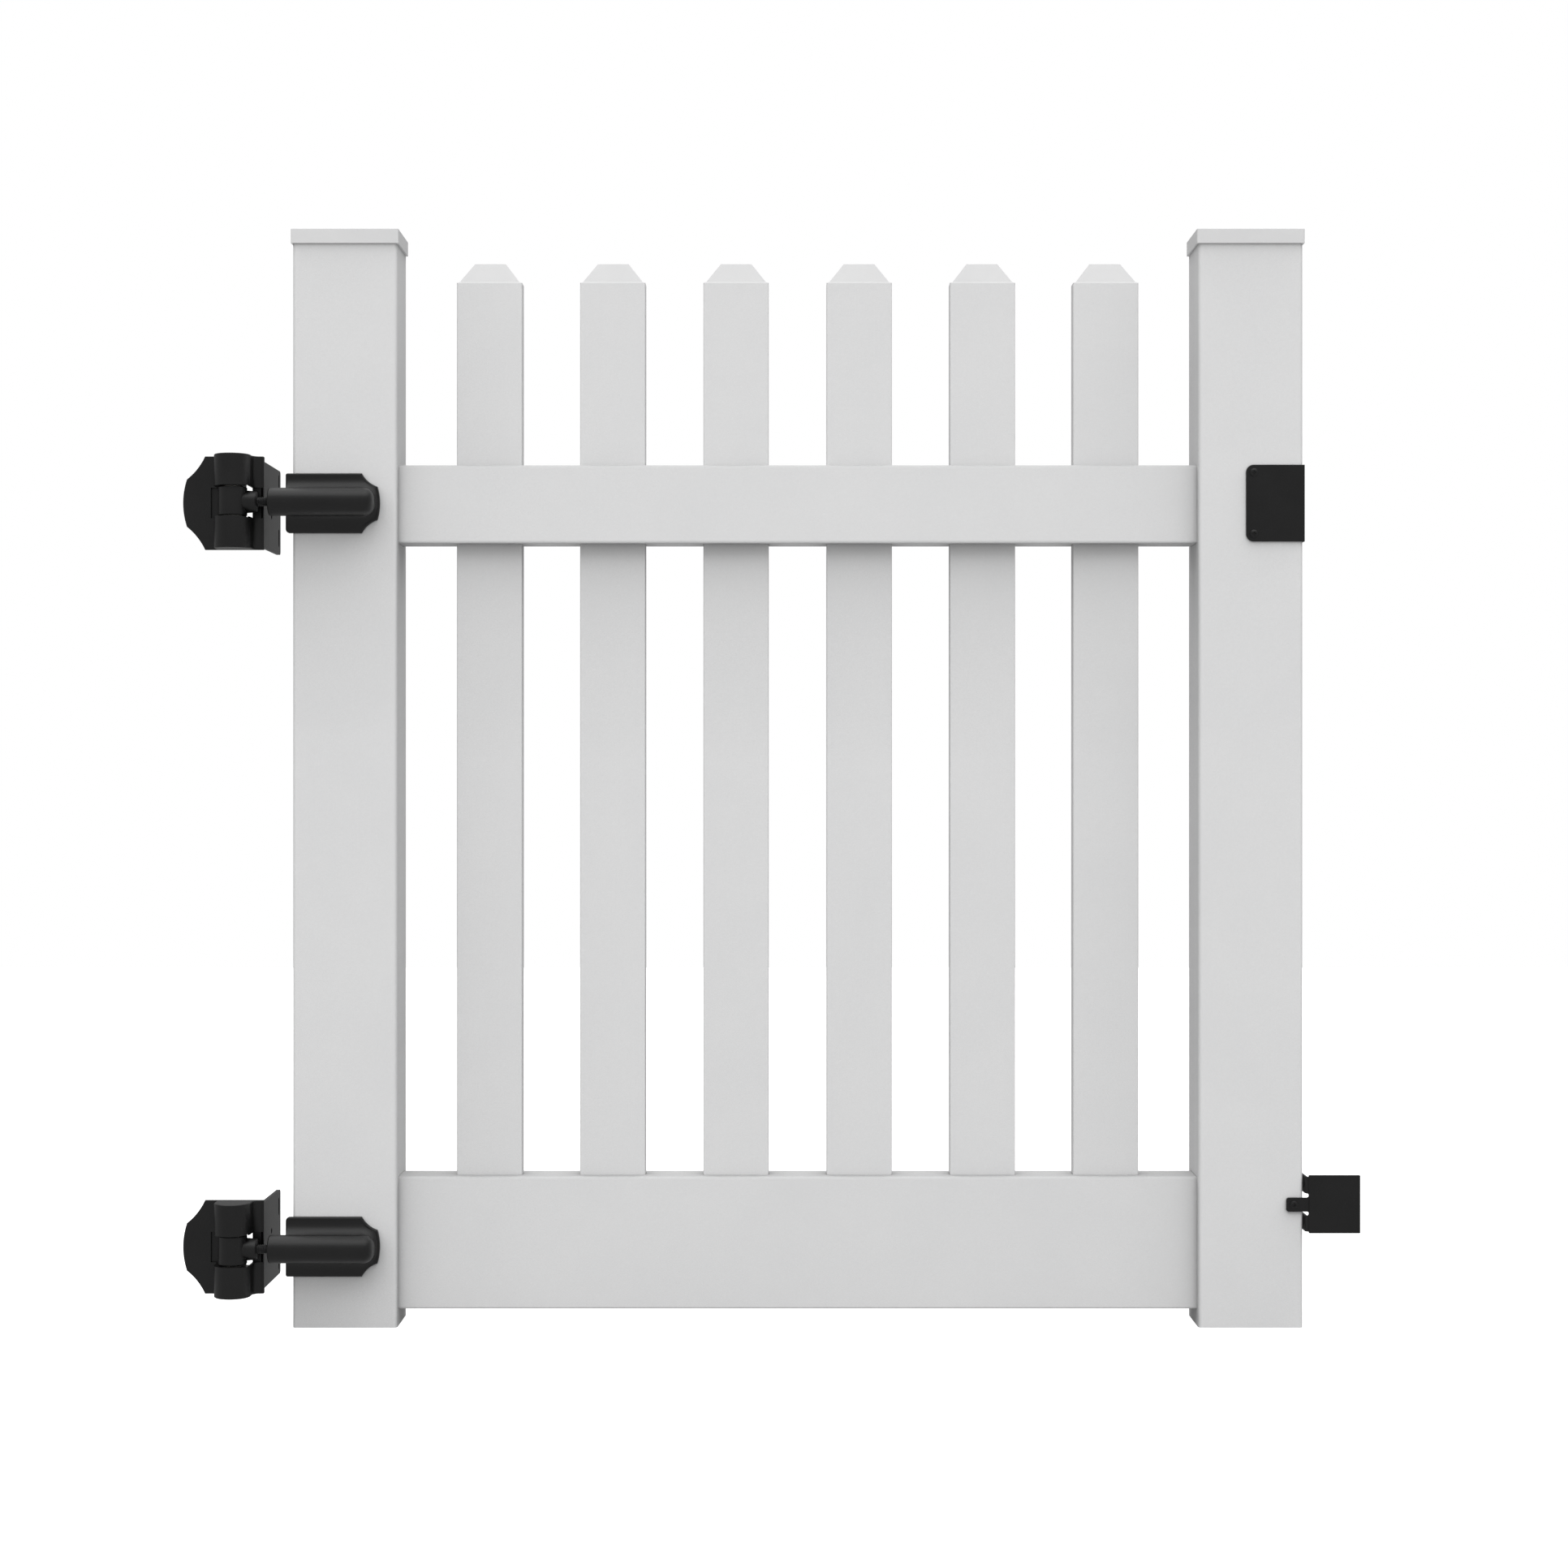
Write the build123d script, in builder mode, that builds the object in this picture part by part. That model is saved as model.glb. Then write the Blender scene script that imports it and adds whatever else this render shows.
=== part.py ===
from build123d import *
import os

# A vinyl picket garden gate with two adjustable self-closing hinges.
# Millimetres. +X is towards the latch side, the front faces -Y and +Z is up.
# The origin is at the middle of the gate's width and depth, level with the
# bottom ends of its uprights. The gate is shown closed.

# ---- Driving dimensions: the vinyl frame ----
gate_width = 1168.4
gate_height = 1270.9
upright_width = 120.65
upright_depth = 76.2
upright_wall = 3.4
upright_radius = 4.2
upright_inner_radius = 1.4
cap_height = 16.5
cap_overhang = 2.0
cap_plug_depth = 20.0
cap_plug_wall = 2.5
cap_plug_radius = 1.2
cap_edge = 0.4
cap_corner = 1.6

rail_depth = 50.8
rail_wall = 2.6
rail_radius = 3.2
rail_insertion = 22.0
top_rail_bottom = 909.0
top_rail_height = 90.4
bottom_rail_bottom = 19.2
bottom_rail_height = 153.8

picket_count = 6
picket_pitch = 143.8
picket_width = 76.2
picket_depth = 22.2
picket_wall = 1.8
picket_radius = 1.4
picket_top = 1213.5
picket_cap_height = 24.0
picket_cap_rim_height = 1.6
picket_cap_rim_inset = 3.4
picket_cap_ridge_length = 36.0
picket_cap_ridge_width = 1.2
picket_plug_depth = 18.0
picket_plug_wall = 1.4

# Room around a rail or a picket where it passes through a routed wall.
routing_gap = 0.4
# Room around a plug or an insert inside a hollow profile.
sliding_gap = 0.3

# ---- Driving dimensions: the aluminium inserts ----
insert_wall = 2.5
insert_reach = 65.0
insert_bottom = 10.0
insert_top = 1228.0
channel_height = 45.0
channel_wall = 2.0
insert_radius = 1.8

# ---- Driving dimensions: the hinges ----
upper_hinge_height = 953.5
lower_hinge_height = 94.1
hinge_axis_x = -649.5
hinge_axis_standoff = 20.0
post_leaf_height = 108.0
post_leaf_thickness = 4.0
post_leaf_left = -710.2
post_leaf_shoulder = -684.8
post_leaf_waist = -705.8
post_leaf_waist_height = 54.8
scallop_sag = 2.0
barrel_radius = 21.0
barrel_root_fillet = 3.0
barrel_flare_fillet = 9.0
barrel_end_radius = 1.4
leaf_edge_radius = 1.0
post_leaf_dial_corner = 3.2
post_leaf_far_corner = 1.2
barrel_slot_height = 35.2
barrel_slot_left = -678.0
leaf_recess_floor = 1.0
window_left = -637.5
window_right = -630.4
window_back_height = 42.4

post_flange_face = -616.6
post_flange_thickness = 4.0
post_flange_depth = 101.6
post_flange_near_edge = 48.0
post_flange_far_edge = 51.5
post_flange_corner = 4.0
flange_slot_length = 21.0
flange_slot_width = 4.6
flange_slot_spacing = 64.8
flange_slot_depth = 91.0
flange_hole_radius = 3.2
flange_hole_spacing = 22.0
flange_hole_depth = 46.0
corner_slit_left = -619.9
corner_slit_width = 2.1
corner_slit_depth = 8.0

pin_radius = 6.0
pin_press_gap = 0.02
pin_blind_end = 46.5
pin_end_gap = 0.5
pin_reach = 44.6
pin_chamfer = 0.8
spring_pocket_radius = 17.0
spring_pocket_floor = 21.6
spring_radius = 11.0
spring_wire_radius = 1.5
spring_pitch = 3.5
spring_turns = 6
spring_start = 23.8
dial_radius = 16.7
dial_thickness = 6.0
dial_recess = 0.5
dial_socket_radius = 4.6
dial_socket_depth = 4.0
dial_hole_circle = 12.0
dial_hole_radius = 1.6
dial_hole_count = 8

knuckle_radius = 16.5
knuckle_half_height = 16.3
knuckle_bore_radius = 9.0
knuckle_chamfer = 0.6
bush_outer_radius = 8.98
bush_inner_radius = 6.05
bush_length = 15.0
bush_flange_radius = 11.0
bush_flange_thickness = 1.0

arm_standoff = 17.5
boss_start = 4.0
boss_end = -621.1
boss_root_radius = 14.0
boss_end_radius = 12.0
boss_end_chamfer = 1.3
stud_radius = 5.2
stud_chamfer = 1.0
stud_end_gap = 0.3
stud_left = -637.0
stud_right = -560.0
stud_grip_gap = 0.02
stud_slide_gap = 0.05
thread_pitch = 1.5
thread_depth = 0.5
thread_margin = 0.1

tube_radius = 16.2
tube_left = -608.0
tube_right = -487.5
tube_end_fillet = 12.0
tube_mouth_fillet = 1.5
tube_bore_end = -545.0
gate_leaf_left = -591.9
gate_leaf_shoulder = -503.9
gate_leaf_waist = -485.9
gate_leaf_right = -483.0
gate_leaf_height = 69.2
gate_leaf_waist_height = 38.6
gate_leaf_dial_corner = 2.4
gate_leaf_far_corner = 5.0
gate_leaf_edge_radius = 2.2
gate_scallop_sag = 2.3
gate_flange_thickness = 4.5
gate_flange_depth = 58.0
gate_flange_height = 60.0
gate_flange_corner = 3.0
saddle_foot_half_height = 30.0
saddle_top_half_height = 15.2
saddle_rise = 9.0

# ---- Driving dimensions: the latch plate and the stop ----
latch_plate_left = 518.4
latch_plate_bottom = 909.4
latch_plate_height = 88.8
latch_plate_thickness = 2.0
latch_plate_corner = 8.7
latch_plate_edge = 0.9
latch_plate_wrap = 52.0
latch_screw_inset = 8.9

stop_left = 590.8
stop_right = 650.0
stop_bottom = 109.8
stop_height = 67.0
stop_thickness = 3.6
stop_corner = 0.8
stop_edge_radius = 0.9
stop_tab_left = 564.8
stop_tab_bottom = 134.7
stop_tab_height = 16.1
stop_tab_thickness = 2.4
stop_tab_corner = 3.0
stop_tab_overlap = 8.0
stop_relief_radius = 2.4
stop_lug_reach = 4.0
stop_lug_bend = 3.4
stop_lug_inner_bend = 0.8
stop_lug_depth = 45.0
stop_lug_inset = 1.8
stop_screw_x = 573.4

# ---- Driving dimensions: the screws ----
screw_radius = 2.0
screw_hole_gap = 0.1
screw_head_radius = 4.6
screw_head_height = 2.4
screw_head_side = 1.1
screw_length = 16.0
plate_screw_length = 14.0
screw_point_length = 3.0
screw_point_radius = 0.4
recess_length = 4.6
recess_width = 1.4
recess_depth = 1.7
hinge_screw_spacing_y = 30.0
hinge_screw_spacing_z = 40.0
hinge_screw_centre_y = -6.0

# How far a cut runs past the surface that it goes through.
cut_margin = 1.0

# ---- Sizes that follow ----
upright_height = gate_height - cap_height
upright_centre = (gate_width - upright_width) / 2
opening_width = gate_width - 2 * upright_width
front = upright_depth / 2
top_rail = (top_rail_bottom, top_rail_height)
bottom_rail = (bottom_rail_bottom, bottom_rail_height)
top_rail_top = top_rail_bottom + top_rail_height
bottom_rail_top = bottom_rail_bottom + bottom_rail_height
picket_foot = bottom_rail_bottom + rail_wall + sliding_gap + channel_height
hinge_axis_y = -front - hinge_axis_standoff
arm_y = -front - arm_standoff
gate_left = -gate_width / 2
gate_right = gate_width / 2
leaf_front = front + post_leaf_thickness
stop_tab_middle = stop_tab_bottom + stop_tab_height / 2

hinges = (("upper", upper_hinge_height, 1), ("lower", lower_hinge_height, -1))

os.makedirs("parts", exist_ok=True)


def save(piece, name):
    """Label a finished piece and write its STEP file."""
    piece.part.label = name
    export_step(piece.part, f"parts/{name}.step")


def screw_seats(points, outward, across):
    """Planes that lie on a surface, one at each screw, facing outward."""
    return [Plane(origin=point, x_dir=across, z_dir=outward) for point in points]


def drill(seats, depth):
    """Drill a screw's hole below each seat, inside the part being built."""
    with Locations(*seats):
        Hole(screw_radius + screw_hole_gap, depth)


def bore(radius, low, length):
    """Cut a round bore along the hinge's axis, inside the part being built."""
    with Locations((hinge_axis_x, hinge_axis_y, low)):
        Cylinder(radius, length, align=(Align.CENTER, Align.CENTER, Align.MIN), mode=Mode.SUBTRACT)


def make_screws(name, seats, length=screw_length):
    """A group of pan-head screws with crossed recesses, one on each seat."""
    with BuildPart() as screws:
        for seat in seats:
            profile = Plane(origin=seat.origin, x_dir=seat.x_dir, z_dir=-seat.y_dir)
            with BuildSketch(profile):
                with BuildLine():
                    Line((0, -length), (screw_point_radius, -length))
                    Line((screw_point_radius, -length), (screw_radius, -length + screw_point_length))
                    Line((screw_radius, -length + screw_point_length), (screw_radius, 0))
                    Line((screw_radius, 0), (screw_head_radius, 0))
                    Line((screw_head_radius, 0), (screw_head_radius, screw_head_side))
                    TangentArc((0, screw_head_height), (screw_head_radius, screw_head_side), tangent=(1, 0))
                    Line((0, screw_head_height), (0, -length))
                make_face()
            revolve(axis=Axis(seat.origin, seat.z_dir))
            with BuildSketch(seat.offset(screw_head_height)):
                Rectangle(recess_length, recess_width)
                Rectangle(recess_width, recess_length)
            extrude(amount=-recess_depth, mode=Mode.SUBTRACT)
    save(screws, name)


# ---- Where the screws sit ----
def hinge_screw_seats(centre):
    """Two rows of screws through the hinge flange into the upright's side."""
    face = gate_left - gate_flange_thickness
    points = []
    for row in (-0.5, 0.5):
        for column in (-0.5, 0.5):
            y = hinge_screw_centre_y + column * hinge_screw_spacing_y
            z = centre + row * hinge_screw_spacing_z
            points.append((face, y, z))
    return screw_seats(points, (-1, 0, 0), (0, 1, 0))


def latch_screw_seats():
    """Two screws near the latch plate's rounded corners."""
    x = latch_plate_left + latch_screw_inset
    face = -front - latch_plate_thickness
    low = latch_plate_bottom + latch_screw_inset
    high = latch_plate_bottom + latch_plate_height - latch_screw_inset
    return screw_seats([(x, face, low), (x, face, high)], (0, -1, 0), (1, 0, 0))


def stop_screw_seats():
    """One screw through the stop's tab."""
    point = (stop_screw_x, -front - stop_tab_thickness, stop_tab_middle)
    return screw_seats([point], (0, -1, 0), (1, 0, 0))


def upright_screw_seats(side):
    """Every screw that goes into one upright: -1 is the hinge side and 1 the latch side."""
    if side > 0:
        return latch_screw_seats() + stop_screw_seats()
    return hinge_screw_seats(upper_hinge_height) + hinge_screw_seats(lower_hinge_height)


# ---- The vinyl frame ----
def make_upright(name, side):
    """A hollow post, routed on its inner side to take the rails' ends."""
    centre = side * upright_centre
    inner_face = side * opening_width / 2
    with BuildPart() as upright:
        with BuildSketch(Plane.XY):
            with Locations((centre, 0)):
                RectangleRounded(upright_width, upright_depth, upright_radius)
                RectangleRounded(
                    upright_width - 2 * upright_wall,
                    upright_depth - 2 * upright_wall,
                    upright_inner_radius,
                    mode=Mode.SUBTRACT,
                )
        extrude(amount=upright_height)
        for rail_bottom, rail_height in (bottom_rail, top_rail):
            with BuildSketch(Plane.YZ.offset(inner_face - side * cut_margin)):
                with Locations((0, rail_bottom + rail_height / 2)):
                    RectangleRounded(
                        rail_depth + 2 * routing_gap,
                        rail_height + 2 * routing_gap,
                        rail_radius + routing_gap,
                    )
            extrude(amount=side * (upright_wall + 2 * cut_margin), mode=Mode.SUBTRACT)
        drill(upright_screw_seats(side), screw_length - cut_margin)
    save(upright, name)


def make_upright_cap(name, side):
    """A flat cap whose hollow plug goes down inside the upright."""
    centre = side * upright_centre
    plug_width = upright_width - 2 * upright_wall - 2 * sliding_gap
    plug_depth = upright_depth - 2 * upright_wall - 2 * sliding_gap
    with BuildPart() as cap:
        with BuildSketch(Plane.XY.offset(upright_height)):
            with Locations((centre, 0)):
                RectangleRounded(
                    upright_width + 2 * cap_overhang,
                    upright_depth + 2 * cap_overhang,
                    cap_corner,
                )
        extrude(amount=cap_height)
        top_edges = cap.faces().sort_by(Axis.Z)[-1].edges()
        bottom_edges = cap.faces().sort_by(Axis.Z)[0].edges()
        fillet(top_edges + bottom_edges, radius=cap_edge)
        with BuildSketch(Plane.XY.offset(upright_height)):
            with Locations((centre, 0)):
                RectangleRounded(plug_width, plug_depth, cap_plug_radius)
        extrude(amount=-cap_plug_depth)
        with BuildSketch(Plane.XY.offset(upright_height - cap_plug_depth)):
            with Locations((centre, 0)):
                Rectangle(plug_width - 2 * cap_plug_wall, plug_depth - 2 * cap_plug_wall)
        extrude(amount=cap_plug_depth + cap_height - cap_plug_wall, mode=Mode.SUBTRACT)
    save(cap, name)


def make_upright_insert(name, side):
    """An aluminium channel that lies against the upright's outer side."""
    outer = side * (gate_right - upright_wall - sliding_gap)
    half_depth = upright_depth / 2 - upright_wall - sliding_gap
    middle = outer - side * insert_reach / 2
    with BuildPart() as insert:
        with BuildSketch(Plane.XY.offset(insert_bottom)):
            with Locations((middle, 0)):
                RectangleRounded(insert_reach, 2 * half_depth, insert_radius)
            with Locations((middle - side * insert_wall, 0)):
                Rectangle(insert_reach, 2 * (half_depth - insert_wall), mode=Mode.SUBTRACT)
        extrude(amount=insert_top - insert_bottom)
        drill(upright_screw_seats(side), screw_length - cut_margin)
    save(insert, name)


def picket_places():
    """The middle of each picket along the gate's width."""
    return [(index - (picket_count - 1) / 2) * picket_pitch for index in range(picket_count)]


def make_rail(name, rail_bottom, rail_height, slot_low, slot_high):
    """A hollow rail with a routed slot for each picket between two heights."""
    length = opening_width + 2 * rail_insertion
    with BuildPart() as rail:
        with BuildSketch(Plane.YZ.offset(-length / 2)):
            with Locations((0, rail_bottom + rail_height / 2)):
                RectangleRounded(rail_depth, rail_height, rail_radius)
                RectangleRounded(
                    rail_depth - 2 * rail_wall,
                    rail_height - 2 * rail_wall,
                    rail_radius - rail_wall,
                    mode=Mode.SUBTRACT,
                )
        extrude(amount=length)
        with BuildSketch(Plane.XY.offset(slot_low)):
            with Locations(*[(place, 0) for place in picket_places()]):
                RectangleRounded(
                    picket_width + 2 * routing_gap,
                    picket_depth + 2 * routing_gap,
                    picket_radius,
                )
        extrude(amount=slot_high - slot_low, mode=Mode.SUBTRACT)
    save(rail, name)


def make_bottom_channel():
    """An aluminium channel, open side down, that the pickets stand on."""
    low = bottom_rail_bottom + rail_wall + sliding_gap
    width = rail_depth - 2 * rail_wall - 2 * sliding_gap
    length = opening_width + 2 * rail_insertion
    with BuildPart() as channel:
        with BuildSketch(Plane.YZ.offset(-length / 2)):
            with Locations((0, low + channel_height / 2)):
                RectangleRounded(width, channel_height, insert_radius)
            with Locations((0, low + channel_height / 2 - channel_wall)):
                Rectangle(width - 2 * channel_wall, channel_height, mode=Mode.SUBTRACT)
        extrude(amount=length)
    save(channel, "bottom_rail_channel")


def make_picket(name, place):
    """A hollow picket from the bottom channel up past the top rail."""
    with BuildPart() as picket:
        with BuildSketch(Plane.XY.offset(picket_foot)):
            with Locations((place, 0)):
                RectangleRounded(picket_width, picket_depth, picket_radius)
                Rectangle(
                    picket_width - 2 * picket_wall,
                    picket_depth - 2 * picket_wall,
                    mode=Mode.SUBTRACT,
                )
        extrude(amount=picket_top - picket_foot)
    save(picket, name)


def make_picket_cap(name, place):
    """A hipped cap: a low sloping rim, four roof slopes and a hollow plug."""
    rim_top = picket_top + picket_cap_rim_height
    roof_length = picket_width - 2 * picket_cap_rim_inset
    roof_depth = picket_depth - picket_cap_rim_inset
    plug_length = picket_width - 2 * picket_wall - 2 * sliding_gap
    plug_depth = picket_depth - 2 * picket_wall - 2 * sliding_gap
    with BuildPart() as cap:
        with BuildSketch(Plane.XY.offset(picket_top)):
            with Locations((place, 0)):
                Rectangle(picket_width, picket_depth)
        with BuildSketch(Plane.XY.offset(rim_top)):
            with Locations((place, 0)):
                Rectangle(roof_length, roof_depth)
        loft(ruled=True)
        with BuildSketch(Plane.XY.offset(rim_top)):
            with Locations((place, 0)):
                Rectangle(roof_length, roof_depth)
        with BuildSketch(Plane.XY.offset(picket_top + picket_cap_height)):
            with Locations((place, 0)):
                Rectangle(picket_cap_ridge_length, picket_cap_ridge_width)
        loft(ruled=True)
        with BuildSketch(Plane.XY.offset(picket_top)):
            with Locations((place, 0)):
                Rectangle(plug_length, plug_depth)
        extrude(amount=-picket_plug_depth)
        with BuildSketch(Plane.XY.offset(picket_top - picket_plug_depth)):
            with Locations((place, 0)):
                Rectangle(plug_length - 2 * picket_plug_wall, plug_depth - 2 * picket_plug_wall)
        extrude(amount=picket_plug_depth, mode=Mode.SUBTRACT)
    save(cap, name)


# ---- The hinges ----
def scalloped_outline(middle, near, shoulder, waist, tip, half_height, half_waist, sag, corners):
    """A plate's outline in the gate's front plane, straight on the near side.

    The far side bulges out to the tip between two scallops, each as deep as sag,
    and the near side's lower and upper corners are rounded with the two radii given.
    """
    outward = 1 if tip > near else -1
    fall = Vector(abs(waist - shoulder), half_height - half_waist).normalized()
    dip_x = (shoulder + waist) / 2 - outward * fall.Y * sag
    dip_height = (half_height + half_waist) / 2 - fall.X * sag
    with BuildSketch(Plane.XZ.offset(front)) as outline:
        with BuildLine():
            Line((shoulder, middle - half_height), (near, middle - half_height))
            Line((near, middle - half_height), (near, middle + half_height))
            Line((near, middle + half_height), (shoulder, middle + half_height))
            ThreePointArc((shoulder, middle + half_height), (dip_x, middle + dip_height),
                          (waist, middle + half_waist))
            ThreePointArc((waist, middle + half_waist), (tip, middle), (waist, middle - half_waist))
            ThreePointArc((waist, middle - half_waist), (dip_x, middle - dip_height),
                          (shoulder, middle - half_height))
        make_face()
        for end, radius in zip((-1, 1), corners):
            corner = (near, middle + end * half_height)
            fillet(outline.vertices().sort_by_distance(corner)[0], radius=radius)
    return outline.sketch


def rounded_plate(outline, radius):
    """A leaf's plate, with its front edges rounded."""
    with BuildPart() as plate:
        extrude(outline, amount=post_leaf_thickness)
        fillet(plate.faces().sort_by(Axis.Y)[0].edges(), radius=radius)
    return plate.part


def span(centre, up, low, high):
    """The lower end and the length of a stretch along a hinge that may be upside down."""
    ends = (centre + up * low, centre + up * high)
    return min(ends), abs(high - low)


def make_post_leaf(name, centre, up):
    """The leaf on the fence post: a plate, a barrel in two knuckles and a flange round the corner."""
    half = post_leaf_height / 2
    outline = scalloped_outline(
        centre, post_flange_face, post_leaf_shoulder, post_leaf_waist,
        post_leaf_left, half, post_leaf_waist_height / 2, scallop_sag,
        (post_leaf_far_corner, post_leaf_dial_corner)[::up])
    with BuildPart() as leaf:
        with BuildSketch(Plane.XY.offset(centre - half)) as barrel_outline:
            with Locations((hinge_axis_x, hinge_axis_y)):
                Circle(barrel_radius)
            with Locations((hinge_axis_x, hinge_axis_y + hinge_axis_standoff / 2)):
                Rectangle(2 * barrel_radius, hinge_axis_standoff)
            foot_left = hinge_axis_x - barrel_radius - 2 * barrel_root_fillet
            foot_length = post_flange_face - foot_left
            with Locations((foot_left + foot_length / 2, -front - post_leaf_thickness / 2)):
                Rectangle(foot_length, post_leaf_thickness)
            for flank, radius in ((-1, barrel_root_fillet), (1, barrel_flare_fillet)):
                root = (hinge_axis_x + flank * barrel_radius, -leaf_front)
                fillet(barrel_outline.vertices().sort_by_distance(root)[0], radius=radius)
        extrude(amount=post_leaf_height)
        barrel_ends = leaf.faces().sort_by(Axis.Z)
        fillet(barrel_ends[0].edges() + barrel_ends[-1].edges(), radius=barrel_end_radius)
        add(rounded_plate(outline, leaf_edge_radius))
        slot_width = post_flange_face + cut_margin - barrel_slot_left
        slot_depth = hinge_axis_standoff + barrel_radius
        with BuildSketch(Plane.XZ.offset(front + leaf_recess_floor)):
            with Locations((barrel_slot_left + slot_width / 2, centre)):
                Rectangle(slot_width, barrel_slot_height)
        extrude(amount=slot_depth, mode=Mode.SUBTRACT)
        window_front = -front - slot_depth
        window_back = -front + cut_margin
        with BuildSketch(Plane.YZ.offset(window_left)):
            Polygon(
                (window_front, centre - barrel_slot_height / 2),
                (window_back, centre - window_back_height / 2),
                (window_back, centre + window_back_height / 2),
                (window_front, centre + barrel_slot_height / 2), align=None,
            )
        extrude(amount=window_right - window_left, mode=Mode.SUBTRACT)
        bore(spring_pocket_radius, *span(centre, up, spring_pocket_floor, half + cut_margin))
        bore(pin_radius + pin_press_gap,
             *span(centre, up, -pin_blind_end, spring_pocket_floor + cut_margin))

        # The flange that wraps the post's corner, with two slots and two holes.
        low, height = span(centre, up, -post_flange_far_edge, post_flange_near_edge)
        depth = post_flange_depth - post_leaf_thickness
        inner_face = post_flange_face - post_flange_thickness
        with BuildSketch(Plane.YZ.offset(inner_face)):
            with Locations((-front + depth / 2, low + height / 2)):
                RectangleRounded(depth, height, post_flange_corner)
            with Locations((-front + post_flange_corner - post_leaf_thickness / 2, low + height / 2)):
                Rectangle(post_leaf_thickness + 2 * post_flange_corner, height)
        extrude(amount=post_flange_thickness)
        with BuildSketch(Plane.YZ.offset(inner_face - cut_margin)):
            with Locations((-leaf_front + flange_slot_depth, centre)):
                with GridLocations(0, flange_slot_spacing, 1, 2):
                    SlotOverall(flange_slot_length, flange_slot_width, rotation=90)
            with Locations((-leaf_front + flange_hole_depth, centre)):
                with GridLocations(0, flange_hole_spacing, 1, 2):
                    Circle(flange_hole_radius)
        extrude(amount=post_flange_thickness + 2 * cut_margin, mode=Mode.SUBTRACT)

        # The slit in the bent corner, above and below the stud.
        with BuildSketch(Plane.XZ.offset(front - corner_slit_depth)):
            with Locations((corner_slit_left + corner_slit_width / 2, centre)):
                Rectangle(corner_slit_width, barrel_slot_height)
        extrude(amount=corner_slit_depth + post_leaf_thickness, mode=Mode.SUBTRACT)
    save(leaf, name)


def make_hinge_pin(name, centre, up):
    """The pin, pressed into the leaf's blind bore, that the knuckle turns on."""
    low, length = span(centre, up, -pin_blind_end + pin_end_gap, pin_reach)
    with BuildPart() as pin:
        with BuildSketch(Plane.XY.offset(low)):
            with Locations((hinge_axis_x, hinge_axis_y)):
                Circle(pin_radius)
        extrude(amount=length)
        chamfer(pin.edges().filter_by(GeomType.CIRCLE), length=pin_chamfer)
    save(pin, name)


def make_spring(name, centre, up):
    """The torsion spring coiled round the pin, which closes the gate."""
    low, length = span(centre, up, spring_start, spring_start + spring_pitch * spring_turns)
    with BuildPart() as spring:
        with BuildLine() as coil:
            Helix(spring_pitch, length, spring_radius, center=(hinge_axis_x, hinge_axis_y, low))
        with BuildSketch(Plane(origin=coil.line @ 0, z_dir=coil.line % 0)):
            Circle(spring_wire_radius)
        sweep(path=coil.line, is_frenet=True)
    save(spring, name)


def make_tension_dial(name, centre, up):
    """The dial that closes the barrel's end and sets the spring's tension."""
    half = post_leaf_height / 2
    low, length = span(centre, up, half - dial_recess - dial_thickness, half - dial_recess)
    outer = centre + up * (half - dial_recess)
    with BuildPart() as dial:
        with BuildSketch(Plane.XY.offset(low)):
            with Locations((hinge_axis_x, hinge_axis_y)):
                Circle(dial_radius)
                with PolarLocations(dial_hole_circle, dial_hole_count):
                    Circle(dial_hole_radius, mode=Mode.SUBTRACT)
        extrude(amount=length)
        with BuildSketch(Plane.XY.offset(outer)):
            with Locations((hinge_axis_x, hinge_axis_y)):
                RegularPolygon(dial_socket_radius, 6)
        extrude(amount=-up * dial_socket_depth, mode=Mode.SUBTRACT)
    save(dial, name)


def make_knuckle(name, centre):
    """The middle knuckle, with the boss that holds the adjusting stud."""
    boss_plane = Plane(origin=(hinge_axis_x, arm_y, centre), x_dir=(1, 0, 0), z_dir=(0, -1, 0))
    boss_length = boss_end - hinge_axis_x
    with BuildPart() as knuckle:
        with BuildSketch(Plane.XY.offset(centre - knuckle_half_height)):
            with Locations((hinge_axis_x, hinge_axis_y)):
                Circle(knuckle_radius)
        extrude(amount=2 * knuckle_half_height)
        chamfer(knuckle.edges().filter_by(GeomType.CIRCLE), length=knuckle_chamfer)
        with BuildSketch(boss_plane):
            Polygon(
                (boss_start, 0), (boss_start, boss_root_radius),
                (boss_length - boss_end_chamfer, boss_end_radius),
                (boss_length, boss_end_radius - boss_end_chamfer), (boss_length, 0), align=None,
            )
        revolve(axis=Axis((hinge_axis_x, arm_y, centre), (1, 0, 0)))
        bore(knuckle_bore_radius, centre - knuckle_half_height - cut_margin,
             2 * (knuckle_half_height + cut_margin))
        with BuildSketch(Plane.YZ.offset(stud_left - stud_end_gap)):
            with Locations((arm_y, centre)):
                Circle(stud_radius + stud_grip_gap)
        extrude(amount=boss_end - stud_left + stud_end_gap + cut_margin, mode=Mode.SUBTRACT)
    save(knuckle, name)


def make_bushes(name, centre):
    """Two flanged bushes, one from each end of the knuckle's bore."""
    with BuildPart() as bushes:
        for end in (-1, 1):
            face = centre + end * knuckle_half_height
            with BuildSketch(Plane.XY.offset(face)):
                with Locations((hinge_axis_x, hinge_axis_y)):
                    Circle(bush_flange_radius)
            extrude(amount=end * bush_flange_thickness)
            with BuildSketch(Plane.XY.offset(face)):
                with Locations((hinge_axis_x, hinge_axis_y)):
                    Circle(bush_outer_radius)
            extrude(amount=-end * bush_length)
            with BuildSketch(Plane.XY.offset(face + end * (bush_flange_thickness + cut_margin))):
                with Locations((hinge_axis_x, hinge_axis_y)):
                    Circle(bush_inner_radius)
            extrude(amount=-end * (bush_length + bush_flange_thickness + 2 * cut_margin),
                    mode=Mode.SUBTRACT)
    save(bushes, name)


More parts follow.
